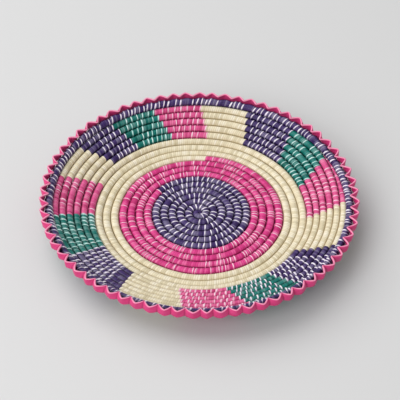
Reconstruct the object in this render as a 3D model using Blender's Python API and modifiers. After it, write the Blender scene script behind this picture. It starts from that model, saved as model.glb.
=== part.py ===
"""Coiled roti basket: a flat base, a low sloping wall and a zigzag edging.

One long bundle of straw runs in a spiral from the middle of the base to the top of the wall. Strips of
dyed and natural leaf are wrapped round it and sewn into the turn before, and each wrap is a piece of
its own: the middle of the base, two rings round it, and sixteen colour blocks on the wall. A last coil
makes the rim, and a pleated strip of leaf is sewn round it.

The spiral runs outwards and counter-clockwise, seen from above. Angles are in degrees from +X, and
lengths are in metres. The base stands on z = 0, with its centre at the origin.
"""

import math

import bmesh
import bpy
from mathutils import Vector

# Sizes of the coil, the base and the wall
COIL_PITCH = 0.0078
COIL_HEIGHT = 0.0075
FLAT_RADIUS = 0.086
BEND_RADIUS = 0.035
WALL_ROW_WIDTH = 0.0072
WRAP_THICKNESS = 0.001
END_STUB = 0.0008
END_INSET = 0.00015
GROOVE_THICKNESS = 0.0044

# Sizes of the rim coil's straw, and how far the coil's middle lies above the middle of the wall
RIM_STRAW_DIAMETER = 0.00402
RIM_COIL_LIFT = 0.0036

# Sizes of the pleated edging: the reach of its tips and of the upper edge of its valleys from the rim
# coil's middle, the rise of that edge above the coil's crown and of the tips above it, the depth of the
# strip at a tip, and how much higher its hem is at a valley
EDGING_OVERHANG = 0.0069
VALLEY_REACH = 0.0009
VALLEY_RISE = 0.0022
TIP_RISE = 0.0006
EDGING_DEPTH = 0.0085
HEM_RISE = 0.001
EDGING_THICKNESS = 0.0014

# Room between pieces that touch, and round the straw inside its wrap
CLEARANCE = 0.0003
STRAW_CLEARANCE = 0.00045

# Angles and counts. The rim coil's section is turned so that a flat side, not an edge, is on top.
WALL_SLOPE = 22.0
COIL_MIDDLE_ANGLE = 251.0
TURNS_TO_WALL = 13
WALL_ROWS = 6
RIM_FACET_ANGLE = 22.5
SHARP_EDGE_ANGLE = 40.0
EDGING_TEETH = 67
EDGING_FIRST_TOOTH = 5.0

# The folds were made by hand, so the teeth drift from their even places by up to so many degrees: once
# there and back in a turn round the rim, and twice
DRIFT_ONCE = 2.6
DRIFT_TWICE = 1.7

# Where the colour changes on the wall, from the start of its first row on the left: the angle at the
# top of the wall and the angle at its foot
COLOUR_CHANGES = (
    (169.0, 160.5), (191.5, 185.0), (214.5, 210.0), (240.0, 235.0),
    (265.0, 261.0), (290.0, 284.0), (311.0, 308.0), (336.0, 330.0),
    (360.5, 355.0), (389.5, 378.5), (410.0, 401.5), (431.5, 425.0),
    (451.5, 446.0), (472.5, 465.5), (492.5, 485.5), (512.0, 503.5),
)
BLOCK_COLOURS = ("pink", "green", "purple", "natural")
BLOCK_SIDES = ("left", "near", "right", "far")

# A station is a section through the coil: one at each colour change and one halfway to the next. The
# wall's last row tapers from the station given, to these shares of a row's width.
STATIONS_PER_TURN = 2 * len(COLOUR_CHANGES)
BLOCK_STATIONS = 2
TAPER_STATION = 16
TAPER_SHARES = (0.55, 0.12)

# Ends of the wraps on the base, as stations before the wall's first row. The straw starts a quarter of a
# turn after the purple wrap.
PURPLE_START = -13 * STATIONS_PER_TURN
PURPLE_FINE = -12 * STATIONS_PER_TURN
PURPLE_END = -8 * STATIONS_PER_TURN + 30
PINK_END = -4 * STATIONS_PER_TURN + 24
STRAW_START = PURPLE_START + STATIONS_PER_TURN // 4

# Sections as shares of a coil's width and height, and levels of the edging as shares of its depth
SIX_SIDED_SHARES = ((-0.5, 0.0), (-0.25, 0.5), (0.25, 0.5), (0.5, 0.0), (0.25, -0.5), (-0.25, -0.5))
ROW_TOP_SHARES = (0.25, 0.75)
SLANTED_SIDE_SHARE = 1.2
START_TAPER_SHARE = 0.92
EDGING_LEVEL_SHARES = (0.0, 0.24, 0.62, 1.0)
WRAP_END_SHARE = 0.97
STRAW_TIP_SHARE = 0.6

# Values worked out from the sizes
WALL_FOOT = COIL_PITCH * (TURNS_TO_WALL + (COLOUR_CHANGES[0][1] - COIL_MIDDLE_ANGLE) / 360)
WALL_TOP = WALL_FOOT + WALL_ROWS * WALL_ROW_WIDTH
BEND_LENGTH = BEND_RADIUS * math.radians(WALL_SLOPE)
COIL_WIDTH = COIL_PITCH - CLEARANCE
STRAW_WIDTH = COIL_WIDTH - 2 * SLANTED_SIDE_SHARE * (WRAP_THICKNESS + STRAW_CLEARANCE)
STRAW_HEIGHT = COIL_HEIGHT - 2 * (WRAP_THICKNESS + STRAW_CLEARANCE)
RIM_COIL_DIAMETER = RIM_STRAW_DIAMETER + 2 * SLANTED_SIDE_SHARE * (WRAP_THICKNESS + STRAW_CLEARANCE)

# Finish of the leaf and straw, with colours as linear red, green and blue
LEAF_ROUGHNESS = 0.6
MATERIAL_COLOURS = {
    "pink": (0.66, 0.09, 0.25),
    "green": (0.02, 0.19, 0.13),
    "purple": (0.05, 0.03, 0.13),
    "natural": (0.74, 0.64, 0.42),
    "straw": (0.55, 0.42, 0.20),
}


def clear_scene():
    """Remove the objects that a new file starts with."""
    for item in list(bpy.data.objects):
        bpy.data.objects.remove(item, do_unlink=True)


def new_collection(name):
    """A collection linked to the scene."""
    collection = bpy.data.collections.new(name)
    bpy.context.scene.collection.children.link(collection)
    return collection


def leaf_material(name, colour):
    """A matt material for dyed or natural leaf and straw."""
    material = bpy.data.materials.new(name)
    material.use_nodes = True
    shader = material.node_tree.nodes["Principled BSDF"]
    shader.inputs["Base Color"].default_value = (*MATERIAL_COLOURS[colour], 1.0)
    shader.inputs["Roughness"].default_value = LEAF_ROUGHNESS
    shader.inputs["Metallic"].default_value = 0.0
    return material


def middle_line(distance):
    """Radius, height and slope of the coil's middle at a distance from the centre, along the base."""
    middle = COIL_HEIGHT / 2
    slope = math.radians(WALL_SLOPE)
    if distance <= FLAT_RADIUS:
        return distance, middle, 0.0
    if distance <= FLAT_RADIUS + BEND_LENGTH:
        turned = (distance - FLAT_RADIUS) / BEND_RADIUS
        radius = FLAT_RADIUS + BEND_RADIUS * math.sin(turned)
        return radius, middle + BEND_RADIUS * (1 - math.cos(turned)), turned
    straight = distance - FLAT_RADIUS - BEND_LENGTH
    radius = FLAT_RADIUS + BEND_RADIUS * math.sin(slope) + straight * math.cos(slope)
    height = middle + BEND_RADIUS * (1 - math.cos(slope)) + straight * math.sin(slope)
    return radius, height, slope


def place(distance, lift, angle):
    """Point at a distance along the base and wall, a lift above its middle and an angle round it."""
    radius, height, slope = middle_line(distance)
    radius -= lift * math.sin(slope)
    height += lift * math.cos(slope)
    turn = math.radians(angle)
    return Vector((radius * math.cos(turn), radius * math.sin(turn), height))


def change_angles(station):
    """Angles of a station at the top of the wall and at its foot."""
    turn, step = divmod(station, STATIONS_PER_TURN)
    count = len(COLOUR_CHANGES)
    first = COLOUR_CHANGES[step // 2]
    second = COLOUR_CHANGES[(step + 1) // 2 % count]
    wrapped = 360 * ((step + 1) // 2 // count)
    top, foot = ((a + b + wrapped) / 2 for a, b in zip(first, second))
    return top + 360 * turn, foot + 360 * turn


def station_angle(station, distance):
    """Angle of a station at a distance: the colour changes lean, so it differs up the wall."""
    top, foot = change_angles(station)
    up_wall = (distance - WALL_FOOT) / (WALL_TOP - WALL_FOOT)
    return foot + (top - foot) * min(max(up_wall, 0.0), 1.0)


def inner_edge(station):
    """Distance of the coil's inner edge at a station."""
    turned = (change_angles(station)[1] - COLOUR_CHANGES[0][1]) / 360
    return WALL_FOOT + turned * (COIL_PITCH if station < 0 else WALL_ROW_WIDTH)


def last_row_share(station):
    """How much of the wall's last row is left: it tapers away on the right."""
    if station <= TAPER_STATION:
        return 1.0
    past = station - TAPER_STATION - 1
    return TAPER_SHARES[past] if past < len(TAPER_SHARES) else 0.0


def chord_sag(station):
    """How far the straight side of the ring inside the wall falls short of its circle at a station."""
    if station % BLOCK_STATIONS == 0:
        return 0.0
    half_side = math.radians(change_angles(station + 1)[1] - change_angles(station)[1])
    return middle_line(inner_edge(station))[0] * (1 - math.cos(half_side))


def row_edges(station, rows):
    """Distances of the edges of the wall's rows at a station, from the foot up."""
    foot = inner_edge(station) - chord_sag(station)
    last = last_row_share(station)
    width = (WALL_TOP - foot) / (WALL_ROWS - 1 + last)
    edges = [foot + width * row for row in range(min(rows, WALL_ROWS - 1) + 1)]
    if rows == WALL_ROWS:
        edges.append(edges[-1] + width * last)
    return edges


def coil_place(station):
    """Middle distance and width of the base's coil at a station."""
    edge = inner_edge(station)
    width = inner_edge(station + STATIONS_PER_TURN) - edge
    return edge + width / 2, width


def base_stations(first, last):
    """Stations of a wrap on the base: fewer on the first turn, where the coil is small."""
    first_turn = range(first, min(last, PURPLE_FINE), 2 * BLOCK_STATIONS)
    further_out = range(max(first, PURPLE_FINE), last, BLOCK_STATIONS)
    return [*first_turn, *further_out, last]


def section_guide(name, width, height, guides):
    """Closed six-sided outline that a coil's wrap or straw takes as its section."""
    curve = bpy.data.curves.new(name, "CURVE")
    spline = curve.splines.new("POLY")
    spline.points.add(len(SIX_SIDED_SHARES) - 1)
    for point, (across, up) in zip(spline.points, SIX_SIDED_SHARES):
        point.co = (across * width, up * height, 0.0, 1.0)
    spline.use_cyclic_u = True
    guide = bpy.data.objects.new(name, curve)
    guide.hide_render = True
    guide.display_type = "WIRE"
    guides.objects.link(guide)
    return guide


def coil_curve(name, places, section, collection, capped):
    """Curve through places, each a point, a slope and a scale, with a section swept along it."""
    curve = bpy.data.curves.new(name, "CURVE")
    curve.dimensions = "3D"
    curve.twist_mode = "Z_UP"
    spline = curve.splines.new("POLY")
    spline.points.add(len(places) - 1)
    for point, (position, slope, scale) in zip(spline.points, places):
        point.co = (*position, 1.0)
        point.tilt = -slope
        point.radius = scale
    if isinstance(section, float):
        curve.bevel_depth = section / 2
        curve.bevel_resolution = 2
    else:
        curve.bevel_mode = "OBJECT"
        curve.bevel_object = section
    curve.use_fill_caps = capped
    item = bpy.data.objects.new(name, curve)
    collection.objects.link(item)
    return item


def hollow_wrap(name, places, section, collection):
    """Wrap of leaf: the coil's outside, thickened inwards, and open at both ends for the straw."""
    curve = coil_curve(name + "_path", places, section, collection, capped=False)
    evaluated = curve.evaluated_get(bpy.context.evaluated_depsgraph_get())
    mesh = bpy.data.meshes.new_from_object(evaluated)
    mesh.name = name
    bpy.data.objects.remove(curve, do_unlink=True)
    point_outwards(mesh)
    wrap = bpy.data.objects.new(name, mesh)
    collection.objects.link(wrap)
    wall = wrap.modifiers.new("leaf thickness", "SOLIDIFY")
    wall.thickness = WRAP_THICKNESS
    wall.offset = -1.0
    wall.use_even_offset = True
    return wrap


def point_outwards(mesh):
    """Turn the faces of an open tube so that they all point away from its middle."""
    shape = bmesh.new()
    shape.from_mesh(mesh)
    bmesh.ops.recalc_face_normals(shape, faces=shape.faces)
    shape.to_mesh(mesh)
    shape.free()


def base_places(first, last):
    """Places of a wrap on the base, stopped a little short of the wraps before and after it.

    Each end has a second place close by, so that its face lies square across the coil.
    """
    places = []
    for station in base_stations(first, last):
        distance, width = coil_place(station)
        radius, _, slope = middle_line(distance)
        gap = math.degrees(CLEARANCE / 2 / radius)
        stub = math.degrees(END_STUB / radius)
        if station == first:
            angle = station_angle(station, distance)
            angles = (angle + gap, angle + gap + stub)
        elif station == last:
            angle = station_angle(station, distance - width / 2)
            angles = (angle - gap - stub, angle - gap)
        else:
            angles = (station_angle(station, distance + width / 2),)
        scale = (width - CLEARANCE) / COIL_WIDTH
        scale = min(scale, START_TAPER_SHARE * distance / (COIL_WIDTH / 2))
        if station == last:
            scale *= WRAP_END_SHARE
            distance -= END_INSET
        places += [(place(distance, 0.0, angle), slope, scale) for angle in angles]
    return places


def base_wraps(section, collection):
    """The purple middle of the base and the pink and natural rings round it."""
    ends = (PURPLE_START, PURPLE_END, PINK_END, 0)
    names = ("purple_centre_wrap", "pink_ring_wrap", "natural_ring_wrap")
    return [hollow_wrap(name, base_places(first, last), section, collection)
            for name, first, last in zip(names, ends, ends[1:])]


def straw_places():
    """Places of the straw, from the middle of the base through every row of the wall."""
    places = []
    for station in base_stations(STRAW_START, 0)[:-1]:
        distance, width = coil_place(station)
        slope = middle_line(distance)[2]
        angle = station_angle(station, distance + width / 2)
        places.append((place(distance, 0.0, angle), slope, width / COIL_PITCH))
    for row in range(WALL_ROWS):
        whole = row < WALL_ROWS - 1
        for station in range(STATIONS_PER_TURN if whole else TAPER_STATION + 2):
            edges = row_edges(station, WALL_ROWS)
            distance = (edges[row] + edges[row + 1]) / 2
            width = edges[row + 1] - edges[row]
            angle = station_angle(station, distance)
            slope = middle_line(distance)[2]
            places.append((place(distance, 0.0, angle), slope, width / COIL_PITCH))
    for end in (0, -1):
        position, slope, scale = places[end]
        places[end] = (position, slope, scale * STRAW_TIP_SHARE)
    return places


def row_outline(start, end, row_scale):
    """Top of one row in section, from its lower edge: distances and lifts of the groove and crown."""
    groove = GROOVE_THICKNESS / 2
    crown = groove + (COIL_HEIGHT / 2 - groove) * row_scale
    width = end - start
    return [(start, groove)] + [(start + share * width, crown) for share in ROW_TOP_SHARES]


def block_section(station, rows, shift):
    """Points of a block at a station: the outline's top, its foot and a six-sided hole for each row.

    Shift moves the section round by a length, to leave room for the block beside it.
    """
    edges = row_edges(station, rows)
    edges[0] += CLEARANCE / 2
    edges[-1] -= CLEARANCE / 2
    top = []
    holes = []
    for start, end in zip(edges, edges[1:]):
        scale = min(1.0, (end - start) / (WALL_ROW_WIDTH / 2))
        top += row_outline(start, end, scale)
        middle = (start + end) / 2
        hole_width = (end - start) * (1 - 2 * WRAP_THICKNESS / WALL_ROW_WIDTH)
        hole_height = (COIL_HEIGHT - 2 * WRAP_THICKNESS) * scale
        holes.append([(middle + across * hole_width, up * hole_height)
                      for across, up in SIX_SIDED_SHARES])
    top.append((edges[-1], GROOVE_THICKNESS / 2))

    def point(distance, lift):
        radius = middle_line(distance)[0]
        angle = station_angle(station, distance) + math.degrees(shift / radius)
        return place(distance, lift, angle)

    return ([point(distance, lift) for distance, lift in top],
            [point(distance, -lift) for distance, lift in top],
            [[point(distance, lift) for distance, lift in hole] for hole in holes])


def cap_faces(top, foot, hole):
    """End face of one row, between its outline and its hole, as seen from the block's first end."""
    left, top_left, top_right, right, foot_right, foot_left = hole
    return [(top[0], top[1], top_left, left), (top[1], top[2], top_right, top_left),
            (top[2], top[3], right, top_right), (top[3], foot[3], right),
            (foot[3], foot[2], foot_right, right), (foot[2], foot[1], foot_left, foot_right),
            (foot[1], foot[0], left, foot_left), (foot[0], top[0], left)]


def block_mesh(name, first, rows):
    """Closed mesh of one colour block, with a hole along each row for the straw."""
    shape = bmesh.new()
    sections = []
    stations = range(first, first + BLOCK_STATIONS + 1)
    shifts = (CLEARANCE / 2, 0.0, -CLEARANCE / 2)
    for station, shift in zip(stations, shifts):
        top, foot, holes = block_section(station, rows, shift)
        sections.append(([shape.verts.new(co) for co in top],
                         [shape.verts.new(co) for co in foot],
                         [[shape.verts.new(co) for co in hole] for hole in holes]))
    for (top, foot, holes), (next_top, next_foot, next_holes) in zip(sections, sections[1:]):
        outline = top + foot[::-1]
        next_outline = next_top + next_foot[::-1]
        loops = [(outline, next_outline)] + list(zip(holes, next_holes))
        for loop, next_loop in loops:
            for index in range(len(loop)):
                after = (index + 1) % len(loop)
                shape.faces.new((loop[index], loop[after], next_loop[after], next_loop[index]))
    for top, foot, holes in (sections[0], sections[-1]):
        for row, hole in enumerate(holes):
            start = row * (len(ROW_TOP_SHARES) + 1)
            row_top = top[start:start + len(ROW_TOP_SHARES) + 2]
            row_foot = foot[start:start + len(ROW_TOP_SHARES) + 2]
            for corners in cap_faces(row_top, row_foot, hole):
                shape.faces.new(corners)
    bmesh.ops.recalc_face_normals(shape, faces=shape.faces)
    mesh = bpy.data.meshes.new(name)
    shape.to_mesh(mesh)
    shape.free()
    return mesh


def wall_blocks(collection):
    """The sixteen colour blocks of the wall, each with its colour's name."""
    blocks = []
    for index in range(len(COLOUR_CHANGES)):
        side, colour_index = divmod(index, len(BLOCK_COLOURS))
        colour = BLOCK_COLOURS[colour_index]
        name = f"{colour}_wrap_{BLOCK_SIDES[side]}"
        first = BLOCK_STATIONS * index
        rows = WALL_ROWS if first <= TAPER_STATION else WALL_ROWS - 1
        block = bpy.data.objects.new(name, block_mesh(name, first, rows))
        collection.objects.link(block)
        blocks.append((block, colour))
    return blocks


def rim_middle():
    """Radius and height of the middle of the rim coil, which rests on the upper edge of the wall."""
    lift = RIM_COIL_LIFT - GROOVE_THICKNESS / 2
    reach = math.sqrt((RIM_COIL_DIAMETER / 2 + CLEARANCE) ** 2 - lift ** 2)
    point = place(WALL_TOP - CLEARANCE / 2 + reach, RIM_COIL_LIFT, 0.0)
    return point.x, point.z


def rim_places(gap):
    """Places round the rim, with a gap in length where its two ends meet."""
    radius, height = rim_middle()
    first = TAPER_STATION + BLOCK_STATIONS
    places = []
    for station in range(first, first + STATIONS_PER_TURN + 1):
        angle = change_angles(station)[0]
        if station == first:
            angle += math.degrees(gap / 2 / radius)
        if station == first + STATIONS_PER_TURN:
            angle -= math.degrees(gap / 2 / radius)
        turn = math.radians(angle)
        position = Vector((radius * math.cos(turn), radius * math.sin(turn), height))
        places.append((position, math.radians(RIM_FACET_ANGLE), 1.0))
    return places


def rim_coil(straw_section, collection):
    """The wrapped coil round the rim, and the straw inside it."""
    wrap = hollow_wrap("rim_coil_wrap", rim_places(CLEARANCE), RIM_COIL_DIAMETER, collection)
    straw = coil_curve("rim_straw", rim_places(CLEARANCE), straw_section, collection, capped=True)
    return wrap, straw


def edging_sections():
    """Sections of the edging at a tip and at a valley, from the top down.

    Each point is a distance out and up from the middle of the rim coil. At a tip the strip stands upright.
    At a valley it lies against the coil's outside, and its upper edge is drawn in over the coil.
    """
    facet = math.radians(RIM_FACET_ANGLE)
    reach = RIM_COIL_DIAMETER / 2 + (CLEARANCE + EDGING_THICKNESS / 2) / math.cos(facet)
    valley_top = RIM_COIL_DIAMETER / 2 + VALLEY_RISE
    tip_top = valley_top + TIP_RISE
    tip = [(EDGING_OVERHANG, tip_top - share * EDGING_DEPTH) for share in EDGING_LEVEL_SHARES]
    crown = (reach * math.sin(facet), reach * math.cos(facet))
    side = (reach * math.cos(facet), reach * math.sin(facet))
    valley = [(VALLEY_REACH, valley_top), crown, side, (side[0], tip_top - EDGING_DEPTH + HEM_RISE)]
    return tip, valley


def fold_direction(fold):
    """Direction from the basket's middle to a fold of the edging, counted from the first tooth's tip."""
    even = math.radians(EDGING_FIRST_TOOTH + 180 / EDGING_TEETH * fold)
    drift = DRIFT_TWICE * math.sin(2 * even) - DRIFT_ONCE * math.cos(even)
    turn = even + math.radians(drift)
    return math.cos(turn), math.sin(turn)


def edging(collection):
    """The pleated strip round the rim: a ring of folds, thickened to both sides."""
    rim_radius, rim_height = rim_middle()
    sections = edging_sections()
    shape = bmesh.new()
    columns = []
    for fold in range(2 * EDGING_TEETH):
        across, along = fold_direction(fold)
        column = []
        for out, up in sections[fold % 2]:
            radius = rim_radius + out
            column.append(shape.verts.new((radius * across, radius * along, rim_height + up)))
        columns.append(column)
    for column, following in zip(columns, columns[1:] + columns[:1]):
        for level in range(len(column) - 1):
            corners = (column[level], column[level + 1], following[level + 1], following[level])
            shape.faces.new(corners)
    mesh = bpy.data.meshes.new("zigzag_edging")
    shape.to_mesh(mesh)
    shape.free()
    strip = bpy.data.objects.new("zigzag_edging", mesh)
    collection.objects.link(strip)
    thickness = strip.modifiers.new("strip thickness", "SOLIDIFY")
    thickness.thickness = EDGING_THICKNESS
    thickness.offset = 0.0
    thickness.use_even_offset = True
    return strip


def finish(item, colour):
    """Give a piece its own material and smooth faces that keep their sharp edges."""
    item.data.materials.append(leaf_material(item.name + "_leaf", colour))
    if item.type == "MESH":
        item.data.shade_smooth()
        item.data.set_sharp_from_angle(angle=math.radians(SHARP_EDGE_ANGLE))


def main():
    clear_scene()
    basket = new_collection("roti_basket")
    guides = new_collection("guides")
    wrap_section = section_guide("coil_section", COIL_WIDTH, COIL_HEIGHT, guides)
    straw_section = section_guide("straw_section", STRAW_WIDTH, STRAW_HEIGHT, guides)
    rim_straw_section = section_guide("rim_straw_section", RIM_STRAW_DIAMETER, RIM_STRAW_DIAMETER, guides)
    for wrap, colour in zip(base_wraps(wrap_section, basket), ("purple", "pink", "natural")):
        finish(wrap, colour)
    finish(coil_curve("straw_bundle", straw_places(), straw_section, basket, capped=True), "straw")
    for block, colour in wall_blocks(basket):
        finish(block, colour)
    rim_wrap, rim_straw = rim_coil(rim_straw_section, basket)
    finish(rim_wrap, "purple")
    finish(rim_straw, "straw")
    finish(edging(basket), "pink")


main()
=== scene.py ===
"""Coiled roti basket: its wraps of leaf, contrast stitches and pleated edging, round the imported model.

The basket is one long coil of straw. Strips of leaf are wrapped round it and sewn into the turn before,
narrow pale strips cross the dyed rows as stitches, and a pleated strip of leaf stands on the rim. Each
stretch of one colour is a piece of its own and stands for the solid of the same name in the model.

The coil runs outwards and counter-clockwise, seen from above. A winding angle is its angle in degrees
from +X, counted on through all turns: it is 160.5 where the wall starts and grows by 360 with each row.
Lengths are in metres.
"""

import math
from collections import namedtuple
from functools import partial

import bpy
import numpy as np
from bpy.props import FloatProperty, FloatVectorProperty, PointerProperty
from mathutils import Matrix, Vector


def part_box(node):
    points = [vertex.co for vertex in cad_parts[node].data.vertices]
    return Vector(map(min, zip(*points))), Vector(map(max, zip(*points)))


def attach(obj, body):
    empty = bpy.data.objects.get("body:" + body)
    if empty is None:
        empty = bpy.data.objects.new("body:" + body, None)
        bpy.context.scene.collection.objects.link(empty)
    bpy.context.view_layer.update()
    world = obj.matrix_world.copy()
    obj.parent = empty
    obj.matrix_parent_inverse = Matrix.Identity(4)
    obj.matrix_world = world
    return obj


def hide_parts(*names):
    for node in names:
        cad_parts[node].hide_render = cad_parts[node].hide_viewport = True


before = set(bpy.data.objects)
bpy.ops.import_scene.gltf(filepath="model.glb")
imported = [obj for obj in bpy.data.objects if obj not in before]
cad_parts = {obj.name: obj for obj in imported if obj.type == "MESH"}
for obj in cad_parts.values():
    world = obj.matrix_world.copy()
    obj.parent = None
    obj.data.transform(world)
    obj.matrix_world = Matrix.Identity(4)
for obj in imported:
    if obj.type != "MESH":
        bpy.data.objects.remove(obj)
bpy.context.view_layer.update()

bl_info = {
    "name": "Coiled Roti Basket",
    "version": (1, 0, 0),
    "blender": (4, 5, 0),
    "location": "3D View > Sidebar > Basket",
    "description": "Leaf wraps, contrast stitches and pleated edging of a coiled basket",
    "category": "Object",
}

# Sizes of the coil, the base and the wall, as in the model. The rows of the wall spread by the lap, to
# meet the coil on the rim.
COIL_PITCH = 0.0078
COIL_HEIGHT = 0.0075
FLAT_RADIUS = 0.086
BEND_RADIUS = 0.035
ROW_WIDTH = 0.0072
RIM_LAP = 0.0005
WALL_SLOPE = math.radians(22.0)
COIL_MIDDLE_ANGLE = 251.0
TURNS_TO_WALL = 13
WALL_ROWS = 6

# Where the colour changes on the wall, from the start of its first row on the left: the angle at the
# top of the wall and the angle at its foot
COLOUR_CHANGES = (
    (169.0, 160.5), (191.5, 185.0), (214.5, 210.0), (240.0, 235.0),
    (265.0, 261.0), (290.0, 284.0), (311.0, 308.0), (336.0, 330.0),
    (360.5, 355.0), (389.5, 378.5), (410.0, 401.5), (431.5, 425.0),
    (451.5, 446.0), (472.5, 465.5), (492.5, 485.5), (512.0, 503.5),
)
LEAF_COLOURS = ("pink", "green", "purple", "natural")
WALL_SIDES = ("left", "near", "right", "far")

# The wall's last row tapers away on the right: angles, and the shares of a row's width left there. The
# blocks up to this one, counted from 0, have all the rows.
TAPER_ANGLES = (360.5, 375.0, 389.5, 396.0)
TAPER_SHARES = (1.0, 0.55, 0.12, 0.0)
LAST_FULL_BLOCK = 8

# Winding angles at which the wall starts, and at which the purple and the pink wrap of the base end
WALL_START = COLOUR_CHANGES[0][1]
PURPLE_END = 143.5 - 7 * 360
PINK_END = 86.0 - 3 * 360

# Distances from the middle of the base to the foot and the top of the wall, along the surface
WALL_FOOT = COIL_PITCH * (TURNS_TO_WALL + (WALL_START - COIL_MIDDLE_ANGLE) / 360)
WALL_TOP = WALL_FOOT + WALL_ROWS * ROW_WIDTH + RIM_LAP
BEND_LENGTH = BEND_RADIUS * WALL_SLOPE

# The coil starts as a thin tip in the middle of the base, and is as high as elsewhere from this share of
# a row's width on
TIP_WIDTH = 0.0012
FULL_HEIGHT_SHARE = 0.85
CENTRE_START = WALL_START - 360 - (WALL_FOOT - TIP_WIDTH) / COIL_PITCH * 360

# Hand-sewn rows wander from their even places, least in the middle of the base and at the top of the wall:
# reach, waves in a turn, and the distance outwards over which the waves shift by a radian
DRIFT = 0.00022
DRIFT_WAVES = (5, 9)
DRIFT_LENGTH = 0.031

# The coil on the rim is an oval that leans against the wall's last row, so that no light shows between
# them. Where the edging is tied to it, its outer side is drawn in, and its height by a share of that. Its
# middle lies lower than the edging's by the drop.
RIM_WIDTH = 0.0084
RIM_THICKNESS = 0.0074
RIM_TILT = math.radians(40.8)
RIM_PINCH = 0.0013
RIM_PINCH_SHARE = 0.2
RIM_RADIUS = 0.1417
RIM_DROP = 0.0005
EDGING_RADIUS = 0.1412
EDGING_HEIGHT = (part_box("rim_coil_wrap")[0].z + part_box("rim_coil_wrap")[1].z) / 2

# Teeth of the edging, the first one's angle in degrees, and the tooth where the rim's wrap starts
TEETH = 67
FIRST_TOOTH = 5.0
RIM_SEAM = 5.0

# How far the teeth drift from their even places, as in the model: once there and back in a turn round
# the rim, and twice. Then waves of unevenness round the rim, with the reach of each. All in degrees.
DRIFT_ONCE = 2.6
DRIFT_TWICE = 1.7
FOLD_WAVES = ((23, 0.18), (31, 0.14))

# The edging's section, as distances out and up from its middle line: at a valley the strip follows a curve
# from its hem round the coil to its top, and at a tip its hem is drawn in to the coil
VALLEY_HEM = (0.0041, -0.0002)
VALLEY_SHOULDER = (0.0056, 0.0046)
VALLEY_TOP = (0.0001, 0.0058)
TIP_HEM_HEIGHT = -0.0018
TIP_HEM_DRAW = 0.001
TIP_TOP_HEIGHT = 0.0069
EDGING_LEVELS = 6
FOLD_STATIONS = 12

# How much of a fold bulges round its tip, while the rest runs straight from valley to tip, and how far
# the painted shade in the crease of a valley reaches towards the tips
FOLD_ROUNDNESS = 0.6
CREASE_SHADE_WIDTH = 0.5

# The folds are deeper on the left and right of the photograph than near and far, by this share of a fold
# at either end
FOLD_SPREAD = 0.12

# Paths have a point every so many degrees, or on the rim every so many teeth. The values are what the
# trees read at the points of a path and, for the last one, on the faces of the edging. The vectors among
# them and among what the materials read are named apart.
PATH_STEP = 2.0
TOOTH_STEP = 0.125
PATH_VALUES = ("out", "up", "width", "height", "run", "fold", "crease", "uncreased")
VECTOR_VALUES = ("out", "up", "leaf_place")

# Rings to a strip of the wrap, sides of a coil's and of a stitch's section, and the squareness of a round
# section. Strips are numbered on from run to run by more than a run of the wall has. Then the angle from
# which an edge is sharp, and the distance at which the two sides of the edging are joined.
RINGS_PER_STRIP = 4
STRIPS_PER_RUN = 1009.0
SECTION_SIDES = 14
STITCH_SIDES = 4
ROUND = 2.0
SHARP_ANGLE = math.radians(50.0)
MERGE_DISTANCE = 0.00001

# How the rows are stitched: degrees between stitches on the wall, length between them on the base, and
# degrees from the start of a run to the first one
STITCH_STEP = 2.6
RING_SPACING = 0.0034
CENTRE_SPACING = 0.0052
FIRST_STITCH = 0.3

# For each stitched block: degrees left plain at the end of a row, share of the stitches that don't show,
# their breadth as a share of the usual one, and the colour that they have there, because the dye of the row
# stains them
STITCHED_BLOCKS = {
    "pink_wrap_left": (4.0, 0.6, 1.0, "pink_stitch"),
    "green_wrap_left": (4.0, 0.35, 1.3, "green_stitch"),
    "purple_wrap_left": (7.0, 0.05, 1.4, "stitch"),
    "pink_wrap_near": (2.5, 0.08, 1.15, "pink_stitch"),
    "green_wrap_near": (5.5, 0.06, 1.0, "stitch"),
    "purple_wrap_near": (6.5, 0.08, 1.2, "stitch"),
    "pink_wrap_right": (3.0, 0.3, 1.0, "pink_stitch"),
    "green_wrap_right": (3.5, 0.12, 1.0, "green_stitch"),
    "purple_wrap_right": (3.0, 0.08, 1.0, "stitch"),
    "pink_wrap_far": (3.5, 0.2, 1.0, "pink_stitch"),
    "green_wrap_far": (4.0, 0.12, 1.0, "green_stitch"),
    "purple_wrap_far": (5.0, 0.08, 1.0, "stitch"),
}

# On the rim a broad tie lies in each valley of the edging, and there are narrow stitches in the pockets
# between, at these shares of the way from one tie to the next
POCKET_PLACES = (0.35, 0.68)

# Share of the stitches that don't show in the pockets, on the pink ring and in the centre, and breadth of
# those on the ring as a share of the usual one
MISSING_IN_POCKETS = 0.4
MISSING_ON_RING = 0.45
MISSING_IN_CENTRE = 0.1
RING_BREADTH = 0.8

# Unevenness of the stitches: how far one may lie from its even place, how far it may be turned, and the
# share by which its width may differ
STITCH_WANDER = 0.0005
STITCH_TWIST = math.radians(7.0)
STITCH_WIDTH_SPREAD = 0.22

# Seeds of the random draws. The wraps of the base, the blocks of the wall and the stitches on these count
# on from theirs.
STRAW_SEED = 0
BASE_SEED = 1
RIM_SEED = 4
EDGING_SEED = 5
RING_STITCH_SEED = 6
CENTRE_STITCH_SEED = 7
TIE_SEED = 8
POCKET_SEED = 9
BLOCK_SEED = 10
BLOCK_STITCH_SEED = 30

# Grain of the leaf: spacing, length and depth of its fibres, size of the patches where the dye took
# unevenly, detail of both, and how much of a shade comes from the strip, the fibres and the patches
FIBRE_SPACING = 0.0004
FIBRE_LENGTH = 0.006
FIBRE_DEPTH = 0.00006
FIBRE_DETAIL = 3.0
FIBRE_ROUGHNESS = 0.6
PATCH_SIZE = 0.012
PATCH_DETAIL = 2.0
TONE_SHARES = (0.45, 0.35, 0.2)
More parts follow.
